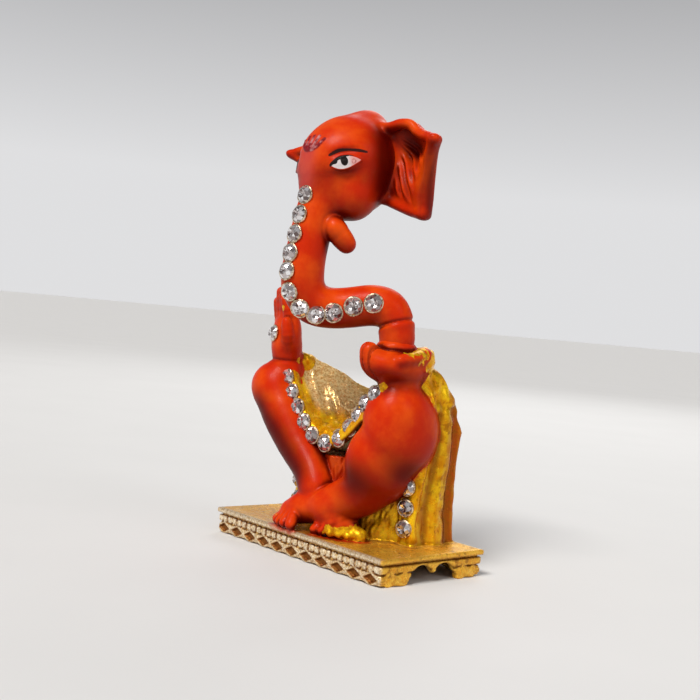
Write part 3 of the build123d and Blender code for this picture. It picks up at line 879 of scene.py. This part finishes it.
def enamel(name, painted=False, gilded=False):
    """Glossy orange-red enamel, with painted shade in hollows, on undersides and in listed spots, and warmer
    on ridges, where it wears thin and as a painted highlight.
    """
    g = Graph(name, Coat_Weight=0.06, Coat_Roughness=0.15, Coat_IOR=1.4, IOR=1.36, Specular_IOR_Level=0.12)
    cloud = g.noise(5.0, 4.0)
    colour = g.speckle(cloud, 0.35, 0.75, (ENAMEL, ENAMEL_WARM))
    # Painted shade: deep red in hollows, like ambient occlusion.
    colour = g.tint(colour, ENAMEL_DEEP, g.plus(g.value("hollow"), g.noise(1.4), 0.15), 0.12, 0.75, 0.92)
    # Warmer orange on ridges: thin enamel at edges, and a painted highlight.
    colour = g.tint(colour, ENAMEL_WARM, g.value("ridge"), 0.35, 0.85, 0.35)
    # Painted shade: darker on surfaces that face down.
    colour = g.tint(colour, ENAMEL_DEEP, g.value("under"), 0.0, 1.0, 0.85)
    # Painted shade: deeper red at the listed shaded spots, such as temples, ear edges, calf and shin.
    colour = g.tint(colour, ENAMEL_DEEP, g.math("ADD", g.value("painted_shade"), g.swing(cloud, 0.3)), 0.05, 1.0, 0.95)
    if painted:
        white = g.tint(EYE_WHITE, EYE_PINK, g.value("eye_pink"), 0.0, 1.0, 0.8)
        colour = g.tint(colour, white, g.value("eye_white"), 0.03, -0.03)
        colour = g.tint(colour, EYE_RING, g.value("eye_ring"), 0.05, -0.02, 0.7)
        colour = g.tint(colour, INK, g.value("eye_ink"), 0.03, -0.03)
        colour = g.tint(colour, INK, g.value("brow"), 0.05, -0.05, 0.95)
        # Painted highlight: a pink sheen down the front of the trunk's root.
        colour = g.tint(colour, PINK_SHEEN, g.value("pink_sheen"), 0.0, 1.0, 0.55)
        # Painted glints: pink spots scattered over the forehead strokes.
        stroke = g.tint(MARK_RED, MARK_GLINT, g.noise(1.3, 2.0), 0.48, 0.66, 0.55)
        colour = g.tint(colour, stroke, g.value("mark"), 0.16, 0.0, 0.95)
    if gilded:
        dab = g.ease(g.math("ADD", g.value("gilt"), g.swing(g.noise(0.9, 4.0), 1.1)), 0.48, 0.60)
        colour = g.mix(dab, colour, g.speckle(g.noise(0.8), 0.35, 0.7, DAB))
        g.set(Metallic=g.math("MULTIPLY", dab, 0.5))
    g.set(Base_Color=colour, Roughness=g.ease(g.noise(2.2, 5.0), 0.3, 0.8, 0.34, 0.50))
    g.bump(g.plus(g.noise(0.35, 4.0), g.noise(1.6, 3.0), 1.5), 0.22, 0.06)
    return g.material


def gilding(name, tones=(GOLD_DEEP, GOLD, GOLD_BRIGHT), sand=0.5, paint_reach=1.0, rough=0.3, metal=0.85):
    """Yellow lacquer over cast metal: grainy where it is sandy, with red overspray beside the enamel;
    brighter on ridges and darker in hollows, underneath and in listed spots, as painted highlight and painted
    shade.
    """
    g = Graph(name, Coat_Weight=0.05, Coat_Roughness=0.1, Coat_IOR=1.4, Specular_IOR_Level=0.1)
    deep, mid, bright = tones
    hollow = g.value("hollow")
    fine = g.noise(0.42, 5.0, 0.65)
    mottle = g.plus(g.math("MULTIPLY", fine, sand), g.noise(2.6, 4.0), 1.0 - sand)
    colour = g.speckle(mottle, 0.4, 0.62, (mid, bright))
    # Brighter on ridges: rubbed high points, and a painted highlight.
    colour = g.tint(colour, bright, g.value("ridge"), 0.25, 0.75, 0.6)
    stain = g.math("MULTIPLY", g.noise(2.2, 5.0, 0.65), g.noise(0.9, 3.0))
    colour = g.tint(colour, deep, stain, 0.27, 0.38, 0.6)
    colour = g.tint(colour, g.speckle(fine, 0.34, 0.6, SAND), g.value("sandy"), 0.0, 1.0)
    colour = g.mix(g.value("pale"), colour, g.speckle(fine, 0.4, 0.6, PALE))
    # Painted shade: darker on surfaces that face down.
    colour = g.tint(colour, deep, g.value("under"), 0.2, 1.0, 0.6)
    # Painted shade: darker at the listed shaded spots, such as pleat grooves and sunk diamonds.
    colour = g.tint(colour, deep, g.value("painted_shade"), 0.0, 1.0, 0.93)
    # Painted shade in hollows, mixed with dark sandy grain.
    shade_and_grain = g.plus(hollow, g.math("SUBTRACT", 0.5, fine), 0.7 * sand + 0.15)
    colour = g.tint(colour, deep, shade_and_grain, 0.18, 0.85, 0.85)
    drift = g.swing(g.noise(1.3, 5.0, 0.7), 1.6)
    spray = g.ease(g.plus(g.value("red_near"), drift, paint_reach), paint_reach, paint_reach * 0.1, 0.0, 0.9)
    cover = g.ease(g.plus(g.value("spray"), drift, 0.35), 0.3, 0.8, 0.0, 0.96)
    spray = g.math("MAXIMUM", spray, cover)
    # Red overspray, a deeper red in hollows as painted shade.
    colour = g.mix(spray, colour, g.speckle(hollow, 0.2, 0.9, OVERSPRAY))
    g.set(Base_Color=colour, Metallic=g.ease(spray, 0.0, 1.0, metal, 0.1),
          Roughness=g.ease(g.noise(1.2, 5.0), 0.3, 0.75, rough - 0.07, rough + 0.13))
    height = g.plus(g.math("MULTIPLY", fine, 0.3 + 1.5 * sand), g.noise(1.1, 4.0), 0.8)
    g.bump(height, 0.45, 0.10 + 0.12 * sand)
    return g.material


def gem_foil():
    """Foil-backed glass: each facet has its own tone, a painted reflection from dark to near white, with warm
    painted reflections over some.
    """
    g = Graph("rhinestone_facets", Coat_Weight=0.9, Coat_Roughness=0.03, Coat_IOR=1.55, Metallic=0.75)
    tone, warm_reflection = g.value("tone"), g.noise(0.5, 4.0)
    colour = g.speckle(tone, 0.0, 0.45, ((0.10, 0.06, 0.055), (0.50, 0.44, 0.43)))
    colour = g.tint(colour, (0.93, 0.93, 0.95), tone, 0.45, 1.0)
    colour = g.tint(colour, (0.62, 0.42, 0.40), warm_reflection, 0.5, 0.8, 0.4)
    g.set(Base_Color=colour, Roughness=g.ease(warm_reflection, 0.3, 0.8, 0.05, 0.16))
    return g.material


def gem_rim():
    g = Graph("rhinestone_seat_rim", Coat_Weight=0.2, Metallic=0.9)
    wear = g.noise(0.4, 4.0)
    g.set(Base_Color=g.speckle(wear, 0.35, 0.65, RIM), Roughness=g.ease(wear, 0.3, 0.7, 0.2, 0.4))
    g.bump(wear, 0.3, 0.05)
    return g.material


# ---- Build the cast pieces ----
def paint_head(vertices):
    """Where the eye, brow and forehead mark are painted, as distances in millimetres, with a painted pink
    sheen down the trunk and painted shade at the temples and under the eyes.
    """
    p = tuple(vertices.T)
    along, up, out = eye_axes(p)
    facing = np.where(out > -1.2, 0.0, 5.0)
    q = folded(p)
    pupil = np.sqrt(((along + 0.2) / 0.62) ** 2 + ((up - 0.25) / 0.85) ** 2) * 0.7 - 0.7
    lid = np.abs(up - 0.95 * (1 - (along / EYE_LENGTH) ** 2) - 0.18) - 0.34 + 0.27 * smooth(along, -1.5, 1.8)
    lid = np.maximum(lid, np.abs(along + 0.3) - 2.5)
    corner = np.sqrt((along + 1.9) ** 2 + ((up - 0.3) * 1.8) ** 2) - 0.5
    # Painted shade at the temple, beside the ear root, and below the eye.
    temple_shade = near_line(q, (9.0, -5.6, 74.0), (9.4, -5.0, 66.0), 3.9)
    under_eye_shade = near_line(q, (6.0, -13.0, 65.6), (8.2, -10.5, 66.0), 1.4)
    return {
        "eye_white": almond(along, up) + facing,
        "eye_pink": smooth(along, 0.1, 1.5),
        "eye_ring": np.abs(np.sqrt((along - 1.35) ** 2 + (up + 0.05) ** 2) - 0.35) - 0.09 + facing,
        "eye_ink": np.minimum(np.minimum(pupil, corner), lid) + facing,
        "brow": chain(q, [(*on_front(x, z), size) for x, z, size in BROW], 3, 0.05) - 0.1,
        "mark": mark_strokes(p),
        # A painted pink sheen down the front of the trunk.
        "pink_sheen": near_line(q, (0.0, -16.6, 71.5), (0.0, -17.0, 65.0), 2.2),
        "painted_shade": 1.1 * temple_shade + 0.25 * under_eye_shade,
    }


def spots(name, strength, places):
    """Paints soft round spots, each (x, y, z, radius)."""
    def paint(vertices):
        p = vertices.T
        return {name: strength * sum(np.exp(-(ball(p, place[:3], 0.0) / place[3]) ** 2) for place in places)}

    return paint


def paint_ear(vertices):
    """Painted shade, in deep red, down the outer edge and in the recess at the root."""
    q = folded(vertices.T)
    edge = near_line(q, (19.0, -4.4, 72.4), (15.4, -1.0, 61.4), 1.7) * smooth(q[1], -4.6, -2.6)
    recess = near_line(q, (9.6, -1.0, 74.6), (11.2, 0.0, 71.0), 2.2)
    return {"painted_shade": np.maximum(edge * 0.75, recess)}


def seat_paint(vertices):
    """Red has run down between the shins."""
    x, y, z = vertices.T
    return {"spray": smooth(np.abs(x), 9.5, 6.0) * smooth(z, 8.0, 11.5) * smooth(y, 3.0, -1.0)}


def lap_paint(vertices):
    """Bright lacquer along the hem, bare sandy metal behind it."""
    y, z = vertices.T[1:]
    return {"sandy": 0.9 * smooth(y, -4.8, -3.0) * smooth(z, 23.5, 27.0)}


def robe_paint(vertices):
    """Sandy inside, some red overspray down the corners and along the foot of the back."""
    q = folded(vertices.T)
    corner = near_line(q, (13.6, 11.4, 4.0), (13.2, 10.0, 28.0), 2.2)
    foot = 0.3 * smooth(q[2], 8.0, 5.0) * smooth(q[1], 8.0, 10.0)
    return {"sandy": 0.85 * smooth(q[1], 6.5, 4.0), "spray": 0.5 * corner + foot}


def drape_paint(vertices):
    """Orange-red overspray along the rear corner; painted shade there and, in deep gold, in the grooves
    between the pleats.
    """
    p = vertices.T
    corner = near_line(folded(p), (17.0, 11.4, 6.0), (16.8, 9.4, 26.0), 4.2)
    crest = np.where(p[0] > 0, pleats(p, LEFT_SEED), pleats(p, RIGHT_SEED))
    return {"spray": 0.55 * corner, "painted_shade": 0.6 * corner + 0.7 * smooth(crest, 0.1, -0.9)}


def plinth_paint(vertices):
    """The long friezes are worn to pale metal around sunk diamonds, with painted shade in the diamonds and
    towards the front of the top, and the top is reddened at the front.
    """
    p = vertices.T
    x, y, z = p
    front = smooth(np.abs(y), 11.2, 11.9) * smooth(np.abs(x), 23.0, 22.4)
    sunk = smooth(np.abs(y), 10.4, 11.0) * smooth(diamond(x, z), 1.05, 0.8) * smooth(z, 2.2, 2.0)
    upper = smooth(z, 4.0, 4.4)
    red = near_line(p, (-4.0, -10.0, PLINTH_TOP), (6.0, -9.0, PLINTH_TOP), 3.4)
    return {
        "pale": 0.85 * front * (1.0 - sunk),
        "painted_shade": sunk + 0.4 * upper * smooth(y, 5.0, -4.0),
        "spray": 0.5 * red * upper,
    }


red_plain = enamel("red_enamel_plain")
red_painted = enamel("red_enamel_painted", painted=True)
red_gilded = enamel("red_enamel_gilded", gilded=True)
gold_drape = gilding("gold_lacquer_drape", sand=0.12, paint_reach=0.6, rough=0.18, metal=0.5)
gold_robe = gilding("gold_lacquer_robe", ((0.26, 0.08, 0.006), (0.66, 0.33, 0.05), (0.92, 0.62, 0.16)),
                    sand=0.55, paint_reach=0.5, rough=0.28, metal=0.4)
gold_lap = gilding("gold_lacquer_lap", sand=0.3, paint_reach=0.25, rough=0.22, metal=0.4)
gold_plinth = gilding("gold_lacquer_plinth", ((0.17, 0.045, 0.008), (0.78, 0.32, 0.02), (1.0, 0.58, 0.07)),
                      sand=0.6, paint_reach=1.6, rough=0.28, metal=0.4)

# Painted shade, deeper red, on the lower left calf and along the right shin; and gold that has crept onto the
# feet and hands.
CALF_SHADE = spots("painted_shade", 0.85, ((10.8, -8.6, 15.4, 4.8), (15.6, -2.0, 17.5, 3.4)))
SHIN_SHADE = spots("painted_shade", 0.85, ((-14.6, -10.4, 24.6, 3.2), (-11.0, -10.6, 21.0, 3.6),
                                  (-7.6, -10.0, 17.0, 4.2), (-3.6, -9.6, 13.4, 3.8)))
LEFT_FOOT_SPOTS = spots("gilt", 1.0, ((-1.8, -9.0, 10.6, 0.9), (-5.4, -11.6, 6.4, 0.7)))
RIGHT_FOOT_SPOTS = spots("gilt", 1.0, ((6.4, -9.4, 5.6, 1.3), (8.2, -7.6, 5.6, 1.5), (9.8, -5.4, 5.6, 1.9)))
LEFT_HAND_SPOTS = spots("gilt", 1.0, ((15.8, -1.4, 37.4, 2.5), (16.4, -4.0, 37.0, 0.9)))
RIGHT_HAND_SPOTS = spots("gilt", 1.0, ((-13.4, -8.6, 43.2, 0.8), (-10.6, -5.0, 34.0, 1.0)))

# Each row: field, softness of its joint with the pieces before it, lowest and highest corner, look, paint.
UPPER = {
    "head": (head, 0.0, (-11, -18, 57), (11, 4, 81), red_painted, paint_head),
    "trunk": (trunk, 2.6, (-6, -20, 38), (16, 0, 71), red_painted, paint_head),
    "left_ear": (left_ear, 1.4, (3, -7, 58), (21, 1.5, 79), red_plain, paint_ear),
    "right_ear": (right_ear, 1.4, (-21, -7, 58), (-3, 1.5, 79), red_plain, paint_ear),
    "left_tusk": (left_tusk, 0.7, (1, -16, 53), (8, -7, 64), red_plain, None),
    "right_tusk": (right_tusk, 0.7, (-8, -16, 53), (-1, -7, 64), red_plain, None),
}
LOWER = {
    "plinth": (plinth, 0.0, (-24, -13.2, -0.8), (24, 13.2, 6.4), gold_plinth, plinth_paint),
    "robe_seat": (robe_seat, 0.7, (-14.5, -8.0, 3.4), (14.5, 4.0, 19), gold_lap, seat_paint),
    "robe_back": (robe_back, 0.5, (-15.6, -0.5, 3.4), (15.6, 13, 38), gold_robe, robe_paint),
    "lap_cloth": (lap_cloth, 0.5, (-14.4, -8.4, 17.6), (14.4, 3.4, 37), gold_lap, lap_paint),
    "left_drape": (left_drape, 0.6, (11.5, -1.0, 3.4), (19, 13, 36.5), gold_drape, drape_paint),
    "right_drape": (right_drape, 0.6, (-19, -4.0, 3.4), (-11.5, 13, 36), gold_drape, drape_paint),
    "left_leg": (left_leg, 0.5, (1, -12.5, 7), (20, 8, 34), red_plain, CALF_SHADE),
    "right_leg": (right_leg, 0.5, (-21, -12.5, 8), (2.5, 8, 34), red_plain, SHIN_SHADE),
    "left_foot": (left_foot, 0.8, (-9, -14.5, 3.6), (7, -3, 13.5), red_gilded, LEFT_FOOT_SPOTS),
    "right_foot": (right_foot, 0.6, (-3, -13, 3.6), (11.5, -3, 12.5), red_gilded, RIGHT_FOOT_SPOTS),
    "left_hand": (left_hand, 1.6, (6.5, -11.5, 28), (18.5, 4, 40), red_gilded, LEFT_HAND_SPOTS),
    "right_hand": (right_hand, 1.6, (-19, -11, 29.5), (-9, -1.5, 49), red_gilded, RIGHT_HAND_SPOTS),
    "left_cuff": (left_cuff, 1.3, (11.5, -0.5, 33.5), (18, 6.2, 40.5), gold_drape, None),
    "right_cuff": (right_cuff, 1.3, (-17, -4.5, 31.5), (-10.5, 1.8, 39), gold_drape, None),
    "sweet": (sweet, 0.3, (8.5, -6.8, 35.8), (16.2, 1.4, 41.6), red_plain, None),
}
for group in (UPPER, LOWER):
    for node in group:
        piece = sculpt(group, node)
        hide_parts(node)
        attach(piece, "root")


# ---- Rhinestones ----
STONE_RADIUS = 1.4
OUTWARD = Vector((0.72, -0.69, 0.0)).normalized()
facet_look = gem_foil()
rim_look = gem_rim()


def ring_points(count, radius, height, turn=0.0):
    angles = [math.tau * (i + turn) / count for i in range(count)]
    return [(radius * math.cos(a), radius * math.sin(a), height) for a in angles]


# Tones of the painted reflection in each facet, and how often each comes.
FACET_REFLECTION_TONES = [0.05, 0.25, 0.45, 0.6, 0.8, 1.0]
TONE_SHARES = [0.16, 0.2, 0.2, 0.18, 0.14, 0.12]


def stone_shape(random):
    """A brilliant: a table that shows its facets inward, crown facets, girdle and a short pavilion."""
    r = STONE_RADIUS
    points = [(0.0, 0.0, 0.62), *ring_points(8, r * 0.24, 0.74, 0.5), *ring_points(8, r * 0.54, 0.92),
              *ring_points(8, r * 0.80, 0.62, 0.5), *ring_points(16, r, 0.2), *ring_points(16, r, 0.0),
              (0.0, 0.0, -0.7)]
    inner, table, star, girdle, base, point = 1, 9, 17, 25, 41, 57  # where each ring's numbers start
    faces = []
    for i in range(8):
        j = (i + 1) % 8
        left, middle, right = girdle + 2 * i, girdle + 2 * i + 1, girdle + 2 * j
        faces += [(0, inner + i, inner + j), (inner + i, table + j, inner + j)]
        faces += [(inner + i, table + i, table + j), (table + i, star + i, table + j)]
        faces += [(table + j, star + i, right, star + j)]
        faces += [(star + i, left, middle), (star + i, middle, right)]
    for i in range(16):
        j = (i + 1) % 16
        faces += [(girdle + i, base + i, base + j, girdle + j), (base + i, point, base + j)]
    return points, faces, random.choice(FACET_REFLECTION_TONES, size=len(faces), p=TONE_SHARES)


def rim_shape():
    """The cast rim that holds the stone, slightly uneven."""
    points, faces = [], []
    around, section = 32, 8
    for i in range(around):
        angle = math.tau * i / around
        thick = 0.17 + 0.025 * math.sin(5 * angle + 1.0)
        a, b = i * section, (i + 1) % around * section
        for k in range(section):
            turn = math.tau * k / section
            reach = STONE_RADIUS + 0.03 + thick * math.cos(turn)
            height = 0.02 + thick * 1.3 * math.sin(turn)
            points.append((reach * math.cos(angle), reach * math.sin(angle), height))
            m = (k + 1) % section
            faces.append((a + k, b + k, b + m, a + m))
    return points, faces, [0.5] * len(faces)


def stone_group(name, node, seats, seed):
    """One object of separate stones in their rims; each seat is (place, facing, scale)."""
    random = np.random.default_rng(seed)
    points, faces, tones, looks = [], [], [], []
    for place, facing, size in seats:
        facing = Vector(facing).normalized()
        side = facing.orthogonal().normalized()
        spin = Matrix.Rotation(random.uniform(0, 6.28), 3, "Z")
        tilt = Matrix.Rotation(random.uniform(-0.06, 0.06), 3, "X")
        axes = Matrix((side, facing.cross(side), facing)).transposed() @ tilt @ spin
        for look, (corners, sides, side_tones) in enumerate((stone_shape(random), rim_shape())):
            start = len(points)
            points += [Vector(place) + axes @ (Vector(c) * size) for c in corners]
            faces += [tuple(start + i for i in f) for f in sides]
            tones += list(side_tones)
            looks += [look] * len(sides)
    mesh = bpy.data.meshes.new(name)
    mesh.from_pydata([tuple(p * MM) for p in points], [], faces)
    mesh.materials.append(facet_look)
    mesh.materials.append(rim_look)
    mesh.polygons.foreach_set("material_index", looks)
    mesh.polygons.foreach_set("use_smooth", [look == 1 for look in looks])
    mesh.attributes.new("tone", "FLOAT", "FACE").data.foreach_set("value", np.array(tones, dtype=np.float32))
    piece = add_object(name, mesh)
    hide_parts(node)
    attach(piece, "root")


def seat(field, start, facing, size):
    """Where a stone sits on a field, found by going outward from a point inside it."""
    way = np.linspace(0.0, 8.0, 801)
    facing = Vector(facing).normalized()
    depth = field(tuple(start[i] + facing[i] * way for i in range(3)))
    return Vector(start) + facing * float(way[(depth > 0.05).argmax()]), facing, size


face_and_trunk = whole_field(UPPER, ("head", "trunk"))
trunk_seats = []
for y, z in ((-12.0, 62.2), (-13.0, 58.8), (-13.6, 55.4), (-14.1, 52.1), (-14.4, 49.0)):
    trunk_seats.append(seat(face_and_trunk, (-0.2, y, z), (0.12, -1.0, 0.12), 1.06))
trunk_seats.append(seat(face_and_trunk, (0.0, -14.8, 46.9), (0.25, -0.95, -0.25), 1.06))
trunk_seats.append(seat(face_and_trunk, (0.4, -14.0, 44.3), (0.55, -0.8, -0.3), 1.06))
for start in ((1.4, -12.0, 42.6), (3.2, -9.7, 43.1), (5.6, -7.4, 44.5), (8.9, -5.9, 45.3)):
    trunk_seats.append(seat(face_and_trunk, start, OUTWARD, 1.08))
stone_group("trunk_rhinestones", "trunk_stones", trunk_seats, 11)
palm_seat = seat(right_hand, (-14.5, -6.6, 38.4), (-0.25, -0.97, 0.05), 1.0)
stone_group("palm_rhinestone", "palm_stone", [palm_seat], 12)


def garland_seats(count=12):
    """Places spread evenly along the front edge of the lap."""
    path = curve(GARLAND, 12)
    length = np.concatenate([[0.0], np.cumsum(np.linalg.norm(np.diff(path, axis=0), axis=1))])
    places = [[float(np.interp(s, length, path[:, i])) for i in range(3)]
              for s in np.linspace(0.0, length[-1], count)]
    return [(place, (0.12, -1.0, 0.05), 1.05) for place in places]


stone_group("garland_rhinestones", "garland_stones", garland_seats(), 13)
for side, name, seed in ((1, "left", 14), (-1, "right", 15)):
    drape_seats = [((side * 14.8, 0.2, z), (side * 0.25, -1.0, 0.0), 1.0) for z in (7.3, 10.9, 14.5, 18.1)]
    stone_group(name + "_drape_rhinestones", name + "_drape_stones", drape_seats, seed)


# ---- Floor, light and camera ----
TARGET = Vector((-2.96, 0.0, 36.69))
# Greys of the sky, by height: near the horizon and overhead.
SKY = ((0.12, (0.74, 0.74, 0.75, 1.0)), (0.45, (0.17, 0.17, 0.18, 1.0)))


def toward(azimuth, elevation):
    """The direction from the object to a viewpoint, in degrees; from azimuth 0 one looks along +Y."""
    a, e = math.radians(azimuth), math.radians(elevation)
    return Vector((math.sin(a) * math.cos(e), -math.cos(a) * math.cos(e), math.sin(e)))


def backdrop(reach=30.0):
    """A pale floor that runs far behind the object."""
    floor = bpy.data.meshes.new("studio_floor")
    corners = [(-reach, -reach, 0), (reach, -reach, 0), (reach, reach, 0), (-reach, reach, 0)]
    floor.from_pydata(corners, [], [(0, 1, 2, 3)])
    g = Graph("studio_floor_paint", Roughness=0.75)
    g.set(Base_Color=g.mix(g.noise(40.0), *FLOOR))
    floor.materials.append(g.material)
    obj = add_object("studio_floor", floor)


def soft_light(name, azimuth, distance, size, power, elevation=35.0):
    """A square area light aimed at the object."""
    light = bpy.data.lights.new(name, "AREA")
    light.size = size
    light.energy = power
    obj = add_object(name, light)
    away = toward(azimuth, elevation)
    obj.location = TARGET * MM + away * distance
    obj.rotation_euler = away.to_track_quat("Z", "Y").to_euler()


def sun_light(power=2.7, width=22.0, colour=(1.0, 0.97, 0.92), tilt=36.0, turn=12.0):
    sun = bpy.data.lights.new("key", "SUN")
    sun.energy = power
    sun.angle = math.radians(width)
    sun.color = colour
    add_object("key", sun).rotation_euler = (math.radians(tilt), 0.0, math.radians(turn))


def studio_world():
    """A plain sky, pale at the horizon and grey overhead."""
    world = bpy.data.worlds.new("studio_world")
    world.use_nodes = True
    nodes, links = world.node_tree.nodes, world.node_tree.links
    height = nodes.new("ShaderNodeSeparateXYZ")
    band = nodes.new("ShaderNodeValToRGB")
    links.new(nodes.new("ShaderNodeTexCoord").outputs["Generated"], height.inputs[0])
    links.new(height.outputs["Z"], band.inputs[0])
    links.new(band.outputs["Color"], nodes["Background"].inputs["Color"])
    for stop, (height_share, grey) in zip(band.color_ramp.elements, SKY):
        stop.position = height_share
        stop.color = grey
    return world


def turned_camera(azimuth=48.68, elevation=1.59, roll=5.10, distance=200.3, lens=56.38):
    """The camera, turned about the line to its target by roll."""
    data = bpy.data.cameras.new("camera")
    data.lens = lens
    data.sensor_width = 36.0
    data.clip_start = 0.01
    data.clip_end = 20.0
    camera = add_object("camera", data)
    away = toward(azimuth, elevation)
    right = Vector((math.cos(math.radians(azimuth)), math.sin(math.radians(azimuth)), 0.0))
    axes = Matrix((right, away.cross(right), away)).transposed()
    axes = axes @ Matrix.Rotation(math.radians(roll), 3, "Z")
    camera.matrix_world = Matrix.Translation((TARGET + away * distance) * MM) @ axes.to_4x4()
    return camera


backdrop()
soft_light("side", 95.0, 0.6, 0.25, 0.35)
soft_light("rear", 215.0, 0.6, 0.3, 0.6)
sun_light()
bpy.context.scene.world = studio_world()
bpy.context.scene.view_settings.view_transform = "Standard"
bpy.context.scene.camera = turned_camera()

bpy.context.view_layer.update()
